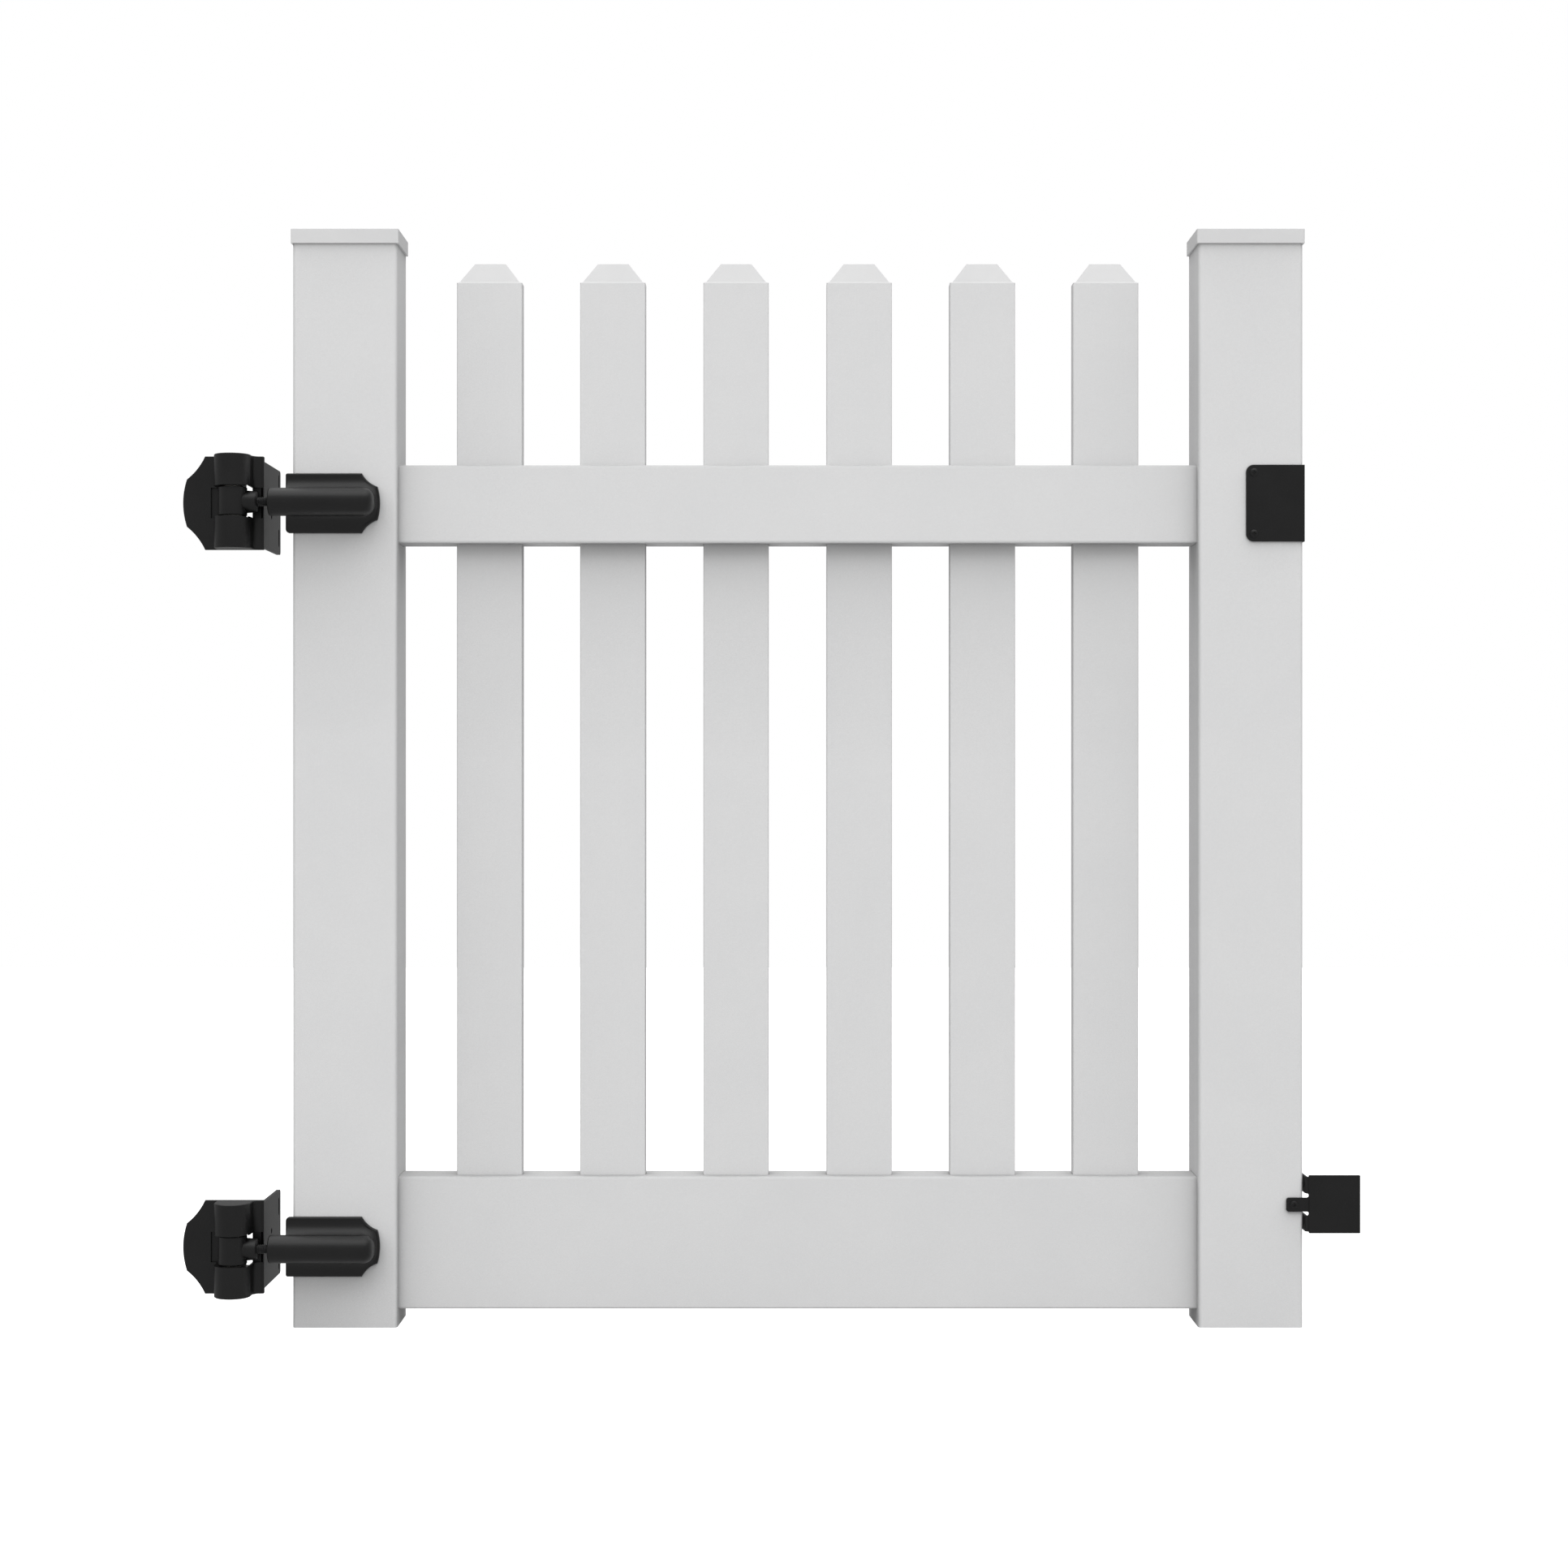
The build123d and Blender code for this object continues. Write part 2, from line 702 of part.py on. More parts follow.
def make_stud(name, centre):
    """The threaded stud between the boss and the gate leaf, with a ring for each turn of thread."""
    axis_line = Axis((stud_left, arm_y, centre), (1, 0, 0))
    groove_count = int((tube_left - boss_end) / thread_pitch) - 1
    first_groove = boss_end - stud_left + thread_pitch
    thread_plane = Plane(origin=(stud_left, arm_y, centre), x_dir=(1, 0, 0), z_dir=(0, -1, 0))
    with BuildPart() as stud:
        with BuildSketch(Plane.YZ.offset(stud_left)):
            with Locations((arm_y, centre)):
                Circle(stud_radius)
        extrude(amount=stud_right - stud_left)
        chamfer(stud.edges().filter_by(GeomType.CIRCLE), length=stud_chamfer)
        for groove in range(groove_count):
            place = first_groove + groove * thread_pitch
            with BuildSketch(thread_plane):
                Polygon(
                    (place - thread_pitch / 2, stud_radius + thread_margin),
                    (place, stud_radius - thread_depth),
                    (place + thread_pitch / 2, stud_radius + thread_margin), align=None,
                )
            revolve(axis=axis_line, mode=Mode.SUBTRACT)
    save(stud, name)


def make_saddle(centre):
    """The cove that blends the tube into the gate leaf, along both sides and round the end."""
    top = -leaf_front - saddle_rise
    foot = centre + saddle_foot_half_height
    turn = tube_right - tube_radius
    inset = gate_leaf_edge_radius
    with BuildPart() as saddle:
        with BuildSketch(Plane.YZ.offset(turn)) as section:
            with BuildLine():
                Line((-front, centre), (-front, foot))
                Line((-front, foot), (-leaf_front, foot))
                TangentArc((-leaf_front, foot), (top, centre + saddle_top_half_height), tangent=(0, -1))
                Line((top, centre + saddle_top_half_height), (top, centre))
                Line((top, centre), (-front, centre))
            make_face()
        revolve(axis=Axis((turn, 0, centre), (0, 1, 0)))
        extrude(section.sketch, amount=gate_leaf_left + inset - turn)
        mirror(about=Plane.XY.offset(centre))
        outline = scalloped_outline(
            centre, gate_leaf_left + inset, gate_leaf_shoulder - inset, gate_leaf_waist - inset,
            gate_leaf_right - inset, gate_leaf_height / 2 - inset, gate_leaf_waist_height / 2 - inset / 2,
            gate_scallop_sag, (inset, inset))
        extrude(outline, amount=post_leaf_thickness + saddle_rise + cut_margin, mode=Mode.INTERSECT)
    return saddle.part


def make_gate_leaf(name, centre, up):
    """The leaf on the gate: a scalloped plate, a tube for the stud and a flange round the corner."""
    with BuildPart() as leaf:
        with BuildSketch(Plane.YZ.offset(tube_left)):
            with Locations((arm_y, centre)):
                Circle(tube_radius)
        extrude(amount=tube_right - tube_left)
        round_end = leaf.edges().filter_by(GeomType.CIRCLE).sort_by(Axis.X)[-1]
        fillet(round_end, radius=tube_end_fillet)
        sharp_end = leaf.edges().filter_by(GeomType.CIRCLE).sort_by(Axis.X)[0]
        fillet(sharp_end, radius=tube_mouth_fillet)
        outline = scalloped_outline(
            centre, gate_leaf_left, gate_leaf_shoulder, gate_leaf_waist,
            gate_leaf_right, gate_leaf_height / 2, gate_leaf_waist_height / 2,
            gate_scallop_sag, (gate_leaf_far_corner, gate_leaf_dial_corner)[::up])
        add(rounded_plate(outline, gate_leaf_edge_radius))
        add(make_saddle(centre))

        # The flange that wraps the gate's corner, and the stud's bore.
        with BuildSketch(Plane.YZ.offset(gate_left - gate_flange_thickness)):
            with Locations((-front + gate_flange_depth / 2, centre)):
                RectangleRounded(gate_flange_depth, gate_flange_height, gate_flange_corner)
            with Locations((-front - post_leaf_thickness / 2 + gate_flange_corner, centre)):
                Rectangle(post_leaf_thickness + 2 * gate_flange_corner, gate_flange_height)
        extrude(amount=gate_flange_thickness)
        with BuildSketch(Plane.YZ.offset(tube_left - cut_margin)):
            with Locations((arm_y, centre)):
                Circle(stud_radius + stud_slide_gap)
        extrude(amount=tube_bore_end - tube_left + cut_margin, mode=Mode.SUBTRACT)
        drill(hinge_screw_seats(centre), gate_flange_thickness + cut_margin)
    save(leaf, name)


# ---- The latch plate and the stop ----
def make_latch_plate():
    """The plate on the latch side, which wraps the upright's outer corner."""
    high = latch_plate_bottom + latch_plate_height
    right = gate_right + latch_plate_thickness
    corner = latch_plate_corner
    with BuildPart() as plate:
        with BuildSketch(Plane.XZ.offset(front)):
            with BuildLine():
                Line((right, latch_plate_bottom), (right, high))
                Line((right, high), (latch_plate_left + corner, high))
                RadiusArc((latch_plate_left + corner, high), (latch_plate_left, high - corner), -corner)
                Line((latch_plate_left, high - corner), (latch_plate_left, latch_plate_bottom + corner))
                RadiusArc((latch_plate_left, latch_plate_bottom + corner),
                          (latch_plate_left + corner, latch_plate_bottom), -corner)
                Line((latch_plate_left + corner, latch_plate_bottom), (right, latch_plate_bottom))
            make_face()
        extrude(amount=latch_plate_thickness)
        with BuildSketch(Plane.YZ.offset(gate_right)):
            with Locations((-front + latch_plate_wrap / 2, latch_plate_bottom + latch_plate_height / 2)):
                Rectangle(latch_plate_wrap, latch_plate_height)
        extrude(amount=latch_plate_thickness)
        fillet(plate.faces().sort_by(Axis.Y)[0].edges(), radius=latch_plate_edge)
        drill(latch_screw_seats(), latch_plate_thickness + cut_margin)
    save(plate, "latch_plate")


def make_stop_bracket():
    """The stop: a plate beside the gate, a tab screwed to the upright and two bent lugs."""
    width = stop_right - stop_left
    high = stop_bottom + stop_height
    tab_high = stop_tab_bottom + stop_tab_height
    tab_length = stop_left + stop_tab_overlap - stop_tab_left
    web_height = stop_tab_height + 4 * stop_relief_radius
    lug_face = stop_left - stop_lug_reach
    lug_front = -front - stop_tab_thickness
    lugs = (
        (stop_bottom + stop_lug_inset, stop_tab_bottom - 2 * stop_relief_radius),
        (tab_high + 2 * stop_relief_radius, high - stop_lug_inset),
    )
    with BuildPart() as bracket:
        with BuildSketch(Plane.XZ.offset(front)):
            with Locations((stop_left + width / 2, stop_bottom + stop_height / 2)):
                RectangleRounded(width, stop_height, stop_corner)
        extrude(amount=stop_thickness)
        fillet(bracket.faces().sort_by(Axis.Y)[0].edges(), radius=stop_edge_radius)
        with BuildSketch(Plane.XZ.offset(front)):
            with Locations((stop_left, stop_tab_middle)):
                Rectangle(2 * stop_relief_radius, web_height)
            for middle in (stop_tab_bottom - stop_relief_radius, tab_high + stop_relief_radius):
                with Locations((stop_left - stop_relief_radius, middle)):
                    Circle(stop_relief_radius, mode=Mode.SUBTRACT)
            with Locations((stop_tab_left + tab_length / 2, stop_tab_middle)):
                RectangleRounded(tab_length, stop_tab_height, stop_tab_corner)
        extrude(amount=stop_tab_thickness)
        for low_edge, high_edge in lugs:
            with BuildSketch(Plane.XY.offset(low_edge)) as section:
                Polygon(
                    (lug_face, lug_front), (stop_left + stop_tab_overlap, lug_front),
                    (stop_left + stop_tab_overlap, -front), (lug_face + stop_tab_thickness, -front),
                    (lug_face + stop_tab_thickness, -front + stop_lug_depth),
                    (lug_face, -front + stop_lug_depth), align=None,
                )
                by_side = section.vertices().group_by(Axis.X)
                fillet(by_side[0].sort_by(Axis.Y)[0], radius=stop_lug_bend)
                fillet(by_side[1].sort_by(Axis.Y)[0], radius=stop_lug_inner_bend)
            extrude(amount=high_edge - low_edge)
        drill(stop_screw_seats(), stop_tab_thickness + cut_margin)
    save(bracket, "stop_bracket")


# ---- Everything, in its place ----
for side, side_name in ((-1, "left"), (1, "right")):
    make_upright(f"{side_name}_upright", side)
    make_upright_cap(f"{side_name}_upright_cap", side)
    make_upright_insert(f"{side_name}_upright_insert", side)

make_rail("top_rail", top_rail_bottom, top_rail_height,
          top_rail_bottom - cut_margin, top_rail_top + cut_margin)
make_rail("bottom_rail", bottom_rail_bottom, bottom_rail_height,
          bottom_rail_top - rail_wall - cut_margin, bottom_rail_top + cut_margin)
make_bottom_channel()

for number, picket_place in enumerate(picket_places(), start=1):
    make_picket(f"picket_{number}", picket_place)
    make_picket_cap(f"picket_cap_{number}", picket_place)

for level_name, hinge_height, hinge_up in hinges:
    make_post_leaf(f"{level_name}_post_leaf", hinge_height, hinge_up)
    make_hinge_pin(f"{level_name}_hinge_pin", hinge_height, hinge_up)
    make_spring(f"{level_name}_spring", hinge_height, hinge_up)
    make_tension_dial(f"{level_name}_tension_dial", hinge_height, hinge_up)
    make_knuckle(f"{level_name}_knuckle", hinge_height)
    make_bushes(f"{level_name}_bushes", hinge_height)
    make_stud(f"{level_name}_stud", hinge_height)
    make_gate_leaf(f"{level_name}_gate_leaf", hinge_height, hinge_up)
    make_screws(f"{level_name}_hinge_screws", hinge_screw_seats(hinge_height))

make_latch_plate()
make_screws("latch_screws", latch_screw_seats(), plate_screw_length)
make_stop_bracket()
make_screws("stop_screw", stop_screw_seats(), plate_screw_length)
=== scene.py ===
import math

import bpy
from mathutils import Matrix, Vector


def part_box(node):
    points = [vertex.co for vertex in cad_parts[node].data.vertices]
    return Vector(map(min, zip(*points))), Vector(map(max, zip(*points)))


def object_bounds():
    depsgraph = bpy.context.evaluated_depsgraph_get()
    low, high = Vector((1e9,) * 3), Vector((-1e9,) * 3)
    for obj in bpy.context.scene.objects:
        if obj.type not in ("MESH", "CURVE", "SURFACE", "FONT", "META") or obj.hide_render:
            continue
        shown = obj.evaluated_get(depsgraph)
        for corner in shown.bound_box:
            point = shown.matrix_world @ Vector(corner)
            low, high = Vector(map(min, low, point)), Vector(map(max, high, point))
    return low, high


# The looks of a vinyl picket garden gate, in metres, in the frame of its CAD model:
# +X towards the latch side, the front faces -Y, +Z up.

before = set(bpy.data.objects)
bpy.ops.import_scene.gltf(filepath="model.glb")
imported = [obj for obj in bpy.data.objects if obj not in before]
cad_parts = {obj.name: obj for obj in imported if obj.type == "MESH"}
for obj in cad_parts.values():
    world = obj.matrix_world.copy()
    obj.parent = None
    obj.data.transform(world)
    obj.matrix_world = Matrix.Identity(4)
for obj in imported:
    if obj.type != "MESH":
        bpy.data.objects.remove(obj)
cad_low, cad_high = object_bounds()

MM = 0.001
WHITE = (1.0, 1.0, 1.0, 1.0)

# ---- Camera ----
# It looks level at the gate from the front. Its distance is from the front of the uprights,
# its sensor is in millimetres, and the last value is half the picture's width at 1 m.
CAMERA_SIDE_SHIFT = -0.0159
CAMERA_HEIGHT = 0.629
CAMERA_DISTANCE = 3.079
CAMERA_FAR_END = 100.0
CAMERA_SENSOR = 36.0
CAMERA_HALF_TANGENT = 0.2945

# ---- Light ----
# Each softbox's power in watts, and the side that it stands on: -1 is the front.
# The elevation is in degrees.
SOFTBOXES = {"front_softbox": (322.0, -1), "back_softbox": (120.0, 1)}
SOFTBOX_SIZE = 9.0
SOFTBOX_DISTANCE = 8.0
SOFTBOX_ELEVATION = 30.0
# The surround is a light tent with a brighter ceiling. Between the two heights, which are
# sines of the elevation, it turns from one brightness to the other.
TENT_WALL = 0.34
TENT_CEILING = 1.42
TENT_WALL_TOP = 0.55
TENT_CEILING_START = 0.90

FLOOR_HALF_SIZE = 6.0
FLOOR_TONE = 0.55
FLOOR_ROUGHNESS = 0.9

# ---- Finishes ----
# Each pair is a darker and a lighter tone, or the least and the greatest roughness.
VINYL_MOTTLE = ((0.760, 0.762, 0.766), (0.800, 0.800, 0.800))
VINYL_SPECK = ((0.758, 0.760, 0.764), (0.800, 0.800, 0.800))
VINYL_ROUGHNESS = (0.45, 0.57)
# The caps' mottle is random tone, and its whole level sits below the extruded vinyl's as painted
# shade for the light that their sloped tops catch.
CAP_MOTTLE_AND_PAINTED_SHADE = ((0.730, 0.731, 0.735), (0.765, 0.765, 0.765))
CAP_ROUGHNESS = (0.40, 0.50)
VINYL_SPECULAR = 0.3
COAT_SPECULAR = 0.6
PLAIN_SPECULAR = 0.5

# A noise's values mostly lie between the first two. Each finer layer of it has the third
# value's share of the strength of the one before.
NOISE_MIDDLE = (0.3, 0.7)
NOISE_ROUGHNESS = 0.55
# Marks drawn out along a profile or a pin have this share of their frequency that way.
ALONG_PROFILE = 0.01
ALONG_PIN = 0.02

# Painted contact shade on the extruded vinyl: its colour is darkened where other surfaces stand
# close. The numbers are how far the axis of its test directions leans up, how many of them there
# are, their reach, how much of the colour they may take and how much of it is always left.
CONTACT_LEAN = 2.5
CONTACT_SAMPLES = 4
CONTACT_REACH = 0.25
CONTACT_DEPTH = 0.82
CONTACT_LEAST = 0.58

# The colour sockets of Blender's Mix node. Their names are shared by its other sockets.
MIX_FIRST, MIX_SECOND, MIX_RESULT = 6, 7, 2


# ---- The studio ----
def make_camera():
    """A level camera in front of the gate, square to it."""
    data = bpy.data.cameras.new("camera")
    data.sensor_width = CAMERA_SENSOR
    data.lens = CAMERA_SENSOR / 2 / CAMERA_HALF_TANGENT
    data.clip_end = CAMERA_FAR_END
    camera = bpy.data.objects.new("camera", data)
    bpy.context.scene.collection.objects.link(camera)
    upright_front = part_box("left_upright")[0].y
    camera.location = (CAMERA_SIDE_SHIFT, upright_front - CAMERA_DISTANCE, CAMERA_HEIGHT)
    camera.rotation_euler = (math.radians(90), 0, 0)
    bpy.context.scene.camera = camera


def make_softboxes():
    """A large square softbox in front of the gate and a weaker one behind, aimed at its middle."""
    tilt = math.radians(SOFTBOX_ELEVATION)
    for name, (power, side) in SOFTBOXES.items():
        data = bpy.data.lights.new(name, "AREA")
        data.shape = "SQUARE"
        data.size = SOFTBOX_SIZE
        data.energy = power
        light = bpy.data.objects.new(name, data)
        bpy.context.scene.collection.objects.link(light)
        towards = Vector((0, side * math.cos(tilt), math.sin(tilt)))
        light.location = (cad_low + cad_high) / 2 + towards * SOFTBOX_DISTANCE
        light.rotation_euler = (-towards).to_track_quat("-Z", "Y").to_euler()
        light.visible_camera = False
        light.visible_glossy = False


def make_world():
    """A light tent with a bright ceiling, which the camera sees as plain white."""
    world = bpy.data.worlds.new("surround")
    bpy.context.scene.world = world
    world.use_nodes = True
    nodes, links = world.node_tree.nodes, world.node_tree.links
    nodes.clear()
    seen = nodes.new("ShaderNodeBackground")
    seen.inputs["Color"].default_value = WHITE
    direction = nodes.new("ShaderNodeSeparateXYZ")
    links.new(nodes.new("ShaderNodeTexCoord").outputs["Generated"], direction.inputs[0])
    height = nodes.new("ShaderNodeMapRange")
    height.interpolation_type = "SMOOTHSTEP"
    height.inputs["From Min"].default_value = TENT_WALL_TOP
    height.inputs["From Max"].default_value = TENT_CEILING_START
    height.inputs["To Min"].default_value = TENT_WALL
    height.inputs["To Max"].default_value = TENT_CEILING
    links.new(direction.outputs["Z"], height.inputs["Value"])
    lit = nodes.new("ShaderNodeBackground")
    lit.inputs["Color"].default_value = WHITE
    links.new(height.outputs["Result"], lit.inputs["Strength"])
    path = nodes.new("ShaderNodeLightPath")
    mix = nodes.new("ShaderNodeMixShader")
    out = nodes.new("ShaderNodeOutputWorld")
    links.new(path.outputs["Is Camera Ray"], mix.inputs["Fac"])
    links.new(lit.outputs[0], mix.inputs[1])
    links.new(seen.outputs[0], mix.inputs[2])
    links.new(mix.outputs[0], out.inputs["Surface"])


def make_floor():
    """A plain pale floor, level with the uprights' bottom ends, which the camera sees as white."""
    low, high = -FLOOR_HALF_SIZE, FLOOR_HALF_SIZE
    corners = [(low, low, 0), (high, low, 0), (high, high, 0), (low, high, 0)]
    mesh = bpy.data.meshes.new("floor")
    mesh.from_pydata(corners, [], [(0, 1, 2, 3)])
    floor = bpy.data.objects.new("floor", mesh)
    bpy.context.scene.collection.objects.link(floor)
    material = bpy.data.materials.new("floor_paint")
    material.use_nodes = True
    shader = material.node_tree.nodes["Principled BSDF"]
    shader.inputs["Base Color"].default_value = (FLOOR_TONE, FLOOR_TONE, FLOOR_TONE, 1)
    shader.inputs["Roughness"].default_value = FLOOR_ROUGHNESS
    shader.inputs["Specular IOR Level"].default_value = 0.0
    shader.inputs["Emission Color"].default_value = WHITE
    path = material.node_tree.nodes.new("ShaderNodeLightPath")
    glow = shader.inputs["Emission Strength"]
    material.node_tree.links.new(path.outputs["Is Camera Ray"], glow)
    floor.data.materials.append(material)
    floor.visible_shadow = False
    floor.visible_glossy = False


# ---- Materials ----
class Material:
    """A small helper that builds one node material step by step."""

    def __init__(self, name, specular=PLAIN_SPECULAR, metallic=0.0):
        self.material = bpy.data.materials.new(name)
        self.material.use_nodes = True
        self.nodes = self.material.node_tree.nodes
        self.links = self.material.node_tree.links
        self.shader = self.nodes["Principled BSDF"]
        self.shader.inputs["Metallic"].default_value = metallic
        self.shader.inputs["Specular IOR Level"].default_value = specular
        self.coordinates = self.nodes.new("ShaderNodeTexCoord").outputs["Object"]
        self.normal = None

    def noise(self, per_metre, detail, stretch=(1, 1, 1)):
        """A noise field in the piece's own coordinates, finer or coarser along each axis."""
        mapping = self.nodes.new("ShaderNodeMapping")
        mapping.inputs["Scale"].default_value = stretch
        self.links.new(self.coordinates, mapping.inputs["Vector"])
        field = self.nodes.new("ShaderNodeTexNoise")
        field.inputs["Scale"].default_value = per_metre
        field.inputs["Detail"].default_value = detail
        field.inputs["Roughness"].default_value = NOISE_ROUGHNESS
        self.links.new(mapping.outputs[0], field.inputs["Vector"])
        return field.outputs["Fac"]

    def remap(self, value, span=NOISE_MIDDLE, onto=(0.0, 1.0)):
        """The value's span, spread over another one."""
        node = self.nodes.new("ShaderNodeMapRange")
        ends = ("From Min", "From Max", "To Min", "To Max")
        for end, number in zip(ends, (*span, *onto)):
            node.inputs[end].default_value = number
        self.links.new(value, node.inputs["Value"])
        return node.outputs["Result"]

    def mix(self, factor, first, second):
        """Colour from first to second by the factor. Either may be a colour or a socket."""
        node = self.nodes.new("ShaderNodeMix")
        node.data_type = "RGBA"
        self.links.new(factor, node.inputs["Factor"])
        for place, value in ((MIX_FIRST, first), (MIX_SECOND, second)):
            if isinstance(value, tuple):
                node.inputs[place].default_value = (*value, 1)
            else:
                self.links.new(value, node.inputs[place])
        return node.outputs[MIX_RESULT]

    def number(self, operation, first, second):
        """One step of arithmetic. Either value may be a number or a socket."""
        node = self.nodes.new("ShaderNodeMath")
        node.operation = operation
        for socket, value in zip(node.inputs, (first, second)):
            if isinstance(value, (int, float)):
                socket.default_value = value
            else:
                self.links.new(value, socket)
        return node.outputs[0]

    def vector(self, operation, first, second=None):
        """One step of vector arithmetic between sockets."""
        node = self.nodes.new("ShaderNodeVectorMath")
        node.operation = operation
        self.links.new(first, node.inputs[0])
        if second is not None:
            self.links.new(second, node.inputs[1])
        return node

    def painted_contact_shade(self, colour):
        """The colour with painted shade, darkened where other surfaces stand close in front of it
        or above it.

        The share of open directions is taken about an axis that leans up from the surface,
        most on upright faces, and is divided by what the same face would have in the open.
        """
        normal = self.nodes.new("ShaderNodeNewGeometry").outputs["Normal"]
        apart = self.nodes.new("ShaderNodeSeparateXYZ")
        self.links.new(normal, apart.inputs[0])
        upright = self.number("SUBTRACT", 1.0, self.number("ABSOLUTE", apart.outputs["Z"], 0.0))
        lean = self.nodes.new("ShaderNodeCombineXYZ")
        self.links.new(self.number("MULTIPLY", upright, CONTACT_LEAN), lean.inputs["Z"])
        raised = self.vector("ADD", normal, lean.outputs[0]).outputs["Vector"]
        axis = self.vector("NORMALIZE", raised).outputs["Vector"]
        overlap = self.vector("DOT_PRODUCT", normal, axis).outputs["Value"]
        in_the_open = self.number("MULTIPLY", self.number("ADD", overlap, 1.0), 0.5)
        sky = self.nodes.new("ShaderNodeAmbientOcclusion")
        sky.samples = CONTACT_SAMPLES
        sky.inputs["Distance"].default_value = CONTACT_REACH
        self.links.new(axis, sky.inputs["Normal"])
        share = self.number("DIVIDE", sky.outputs["AO"], in_the_open)
        open_part = self.number("MULTIPLY", share, CONTACT_DEPTH)
        shade = self.number("ADD", open_part, 1.0 - CONTACT_DEPTH)
        # Painted shade: the colour is scaled down where the open share is small.
        painted_shade = self.vector("SCALE", colour)
        self.links.new(self.number("MAXIMUM", shade, CONTACT_LEAST), painted_shade.inputs["Scale"])
        return painted_shade.outputs["Vector"]

    def colour(self, socket):
        """Take the surface's colour from a socket."""
        self.links.new(socket, self.shader.inputs["Base Color"])

    def roughness(self, noise, least_and_greatest):
        """Let the surface's roughness follow a noise, between two values."""
        value = self.remap(noise, onto=least_and_greatest)
        self.links.new(value, self.shader.inputs["Roughness"])

    def bump(self, height, depth):
        """Add a bump layer on top of those already there."""
        node = self.nodes.new("ShaderNodeBump")
        node.inputs["Distance"].default_value = depth
        self.links.new(height, node.inputs["Height"])
        if self.normal is not None:
            self.links.new(self.normal, node.inputs["Normal"])
        self.normal = node.outputs["Normal"]
        self.links.new(self.normal, self.shader.inputs["Normal"])


def vinyl(name, along):
    """White extruded vinyl: fine grain, faint die lines along the profile, a slow mottle and
    painted contact shade.
    """
    material = Material(name, specular=VINYL_SPECULAR)
    along_profile = tuple(ALONG_PROFILE if axis == along else 1.0 for axis in "xyz")
    mottle = material.noise(per_metre=9.0, detail=4.0)
    lines = material.noise(per_metre=420.0, detail=2.0, stretch=along_profile)
    grain = material.noise(per_metre=1500.0, detail=2.0)
    cloud = material.mix(material.remap(mottle), *VINYL_MOTTLE)
    speck = material.mix(material.remap(grain, span=(0.25, 0.75)), *VINYL_SPECK)
    share_of_speck = material.remap(lines, span=(0.0, 1.0), onto=(0.35, 0.65))
    # Painted shade: the vinyl's colour is darkened near other parts, in front of it and above it.
    material.colour(material.painted_contact_shade(material.mix(share_of_speck, cloud, speck)))
    material.roughness(mottle, VINYL_ROUGHNESS)
    material.bump(lines, depth=0.04 * MM)
    material.bump(grain, depth=0.06 * MM)
    return material.material


def moulded_vinyl(name):
    """Injection-moulded white vinyl for the caps: smoother, with a soft orange peel, and a little
    greyer as painted shade on their light-catching slopes.
    """
    material = Material(name, specular=VINYL_SPECULAR)
    mottle = material.noise(per_metre=14.0, detail=4.0)
    peel = material.noise(per_metre=520.0, detail=1.0)
    grain = material.noise(per_metre=2600.0, detail=1.0)
    material.colour(material.mix(material.remap(mottle), *CAP_MOTTLE_AND_PAINTED_SHADE))
    material.roughness(peel, CAP_ROUGHNESS)
    material.bump(peel, depth=0.05 * MM)
    material.bump(grain, depth=0.03 * MM)
    return material.material


def powder_coat(name, dark, light, roughness):
    """Dark coated metal: orange peel, fine pinholes and slightly uneven gloss."""
    material = Material(name, specular=COAT_SPECULAR)
    peel = material.noise(per_metre=650.0, detail=2.0)
    grain = material.noise(per_metre=2400.0, detail=2.0)
    cloud = material.noise(per_metre=30.0, detail=4.0)
    material.colour(material.mix(material.remap(cloud), dark, light))
    material.roughness(grain, roughness)
    material.bump(peel, depth=0.12 * MM)
    material.bump(grain, depth=0.05 * MM)
    return material.material


def bare_metal(name, dark, light, roughness, marks_per_metre, stretch=(1, 1, 1)):
    """Bare metal with fine tool marks, drawn out along one direction where it has one."""
    material = Material(name, metallic=1.0)
    marks = material.noise(marks_per_metre, detail=3.0, stretch=stretch)
    cloud = material.noise(per_metre=40.0, detail=4.0)
    material.colour(material.mix(material.remap(cloud), dark, light))
    material.roughness(marks, roughness)
    material.bump(marks, depth=0.04 * MM)
    return material.material


def matte_plastic(name, dark, light, roughness):
    """Plain engineering plastic with a fine moulded grain."""
    material = Material(name)
    cloud = material.noise(per_metre=60.0, detail=4.0)
    grain = material.noise(per_metre=1800.0, detail=2.0)
    material.colour(material.mix(material.remap(cloud), dark, light))
    material.roughness(grain, roughness)
    material.bump(grain, depth=0.06 * MM)
    return material.material


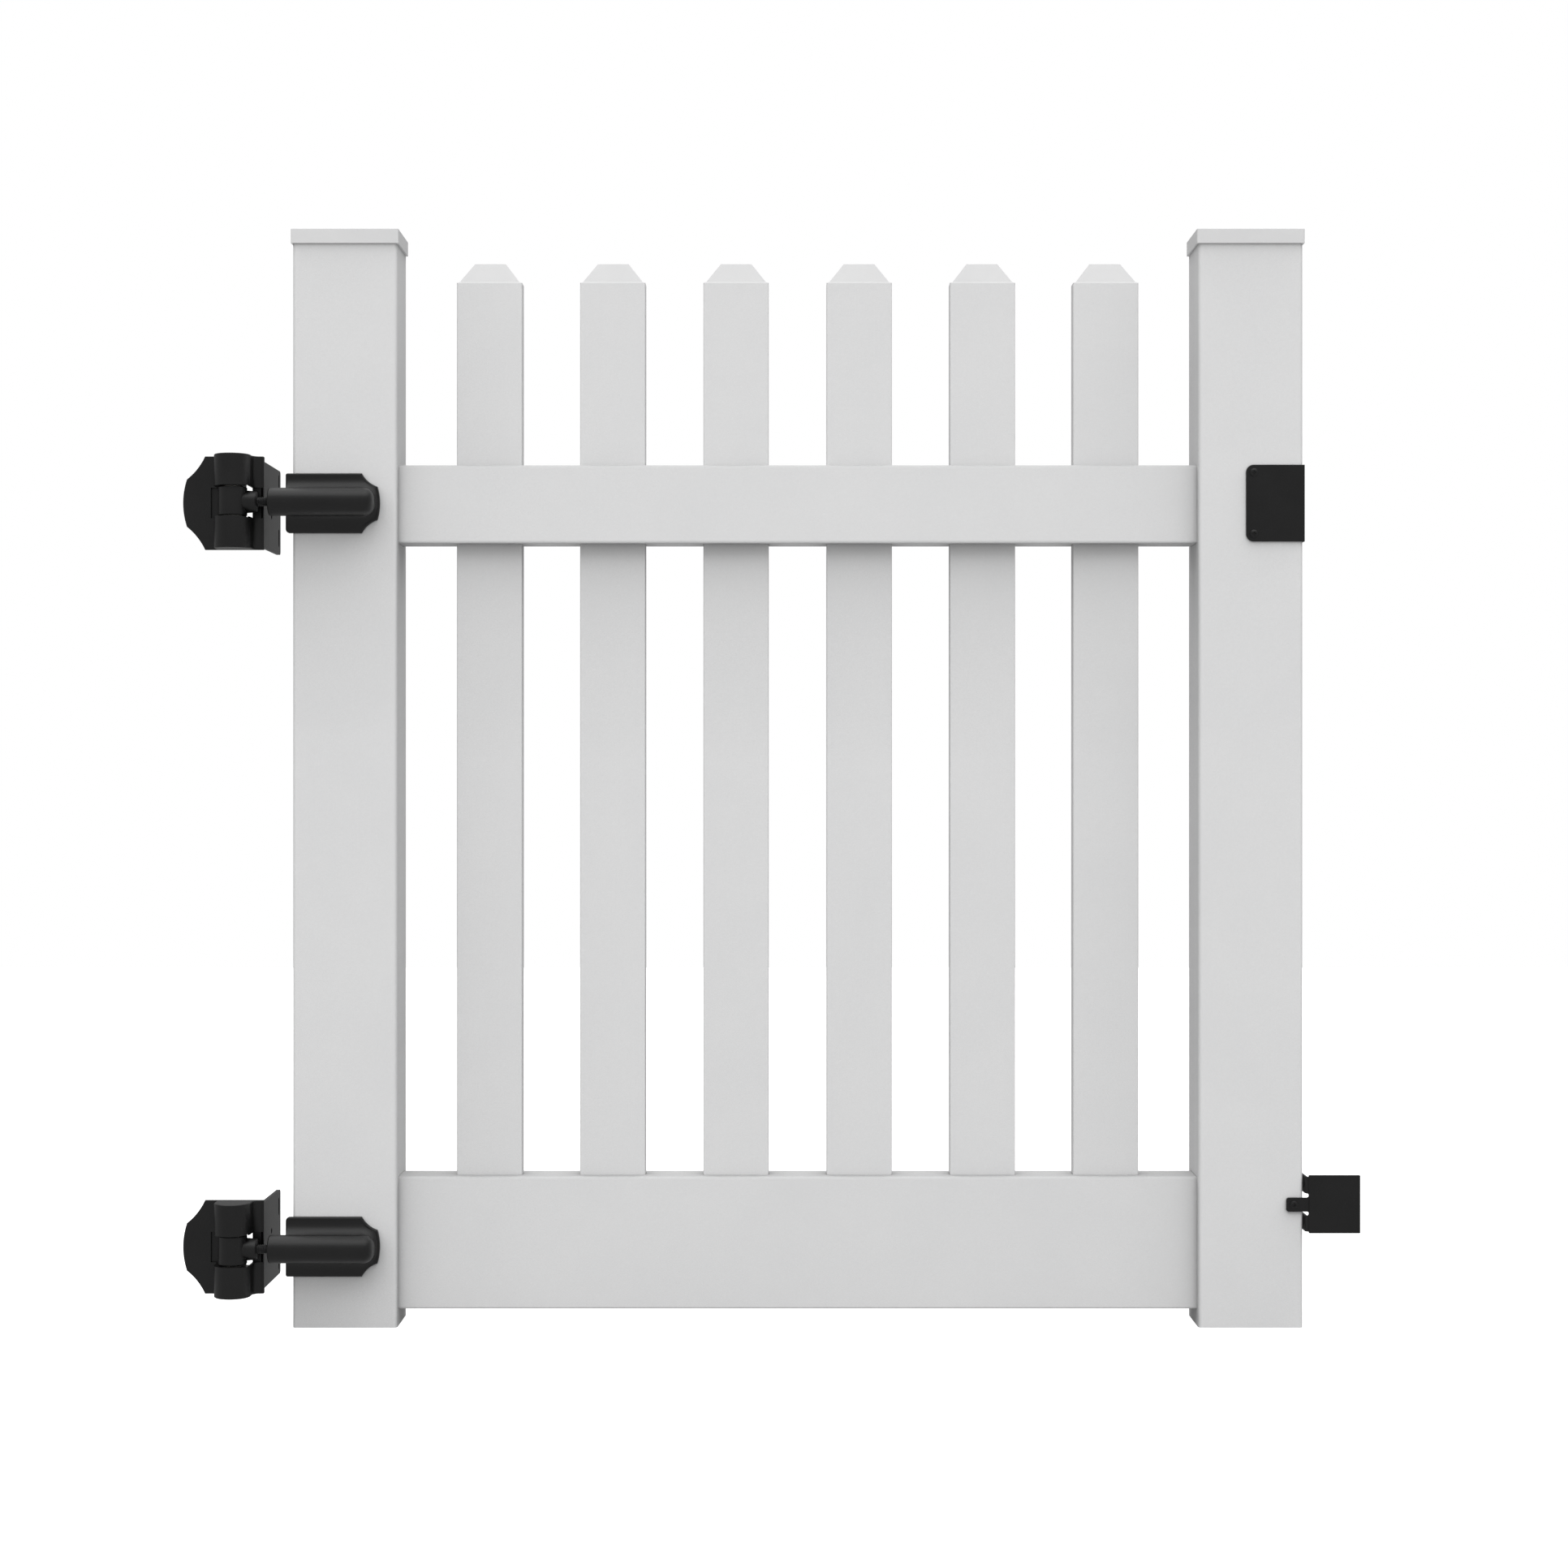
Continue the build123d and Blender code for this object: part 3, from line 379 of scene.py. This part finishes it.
def make_materials():
    """Every finish, by its material slot. vinyl_rail is for vinyl that runs along X, not Z."""
    return {
        "vinyl_white": vinyl("vinyl_upright", along="z"),
        "vinyl_rail": vinyl("vinyl_rail", along="x"),
        "vinyl_caps": moulded_vinyl("vinyl_caps"),
        "black_hardware": powder_coat(
            "black_powder_coat", dark=(0.003, 0.003, 0.0032), light=(0.005, 0.005, 0.0052),
            roughness=(0.32, 0.43)),
        "screw_black": powder_coat(
            "black_oxide_screws", dark=(0.004, 0.004, 0.0042), light=(0.007, 0.007, 0.0073),
            roughness=(0.29, 0.40)),
        "stud_steel": powder_coat(
            "blackened_stud", dark=(0.012, 0.012, 0.0125), light=(0.022, 0.022, 0.0225),
            roughness=(0.31, 0.42)),
        "pin_steel": bare_metal(
            "ground_pin", dark=(0.50, 0.50, 0.51), light=(0.60, 0.60, 0.61),
            roughness=(0.18, 0.36), marks_per_metre=900.0, stretch=(1, 1, ALONG_PIN)),
        "spring_steel": bare_metal(
            "spring_wire", dark=(0.28, 0.28, 0.29), light=(0.38, 0.38, 0.39),
            roughness=(0.24, 0.42), marks_per_metre=900.0),
        "bush_nylon": matte_plastic(
            "natural_nylon", dark=(0.70, 0.69, 0.64), light=(0.78, 0.77, 0.73),
            roughness=(0.43, 0.56)),
        "dial_plastic": matte_plastic(
            "black_nylon", dark=(0.014, 0.014, 0.014), light=(0.024, 0.024, 0.024),
            roughness=(0.45, 0.58)),
        "aluminium_insert": bare_metal(
            "mill_aluminium", dark=(0.68, 0.69, 0.70), light=(0.76, 0.77, 0.78),
            roughness=(0.30, 0.48), marks_per_metre=700.0, stretch=(1, 1, ALONG_PROFILE)),
    }


def dress_nodes(materials):
    """Give every CAD node its finish in place of the plain one."""
    for name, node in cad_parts.items():
        for seat in node.material_slots:
            slot_name = seat.material.name.split(".")[0]
            finish = "vinyl_rail" if name.endswith("_rail") else slot_name
            seat.material = materials[finish]


make_camera()
make_world()
make_floor()
make_softboxes()
bpy.context.scene.view_settings.view_transform = "Standard"

dress_nodes(make_materials())
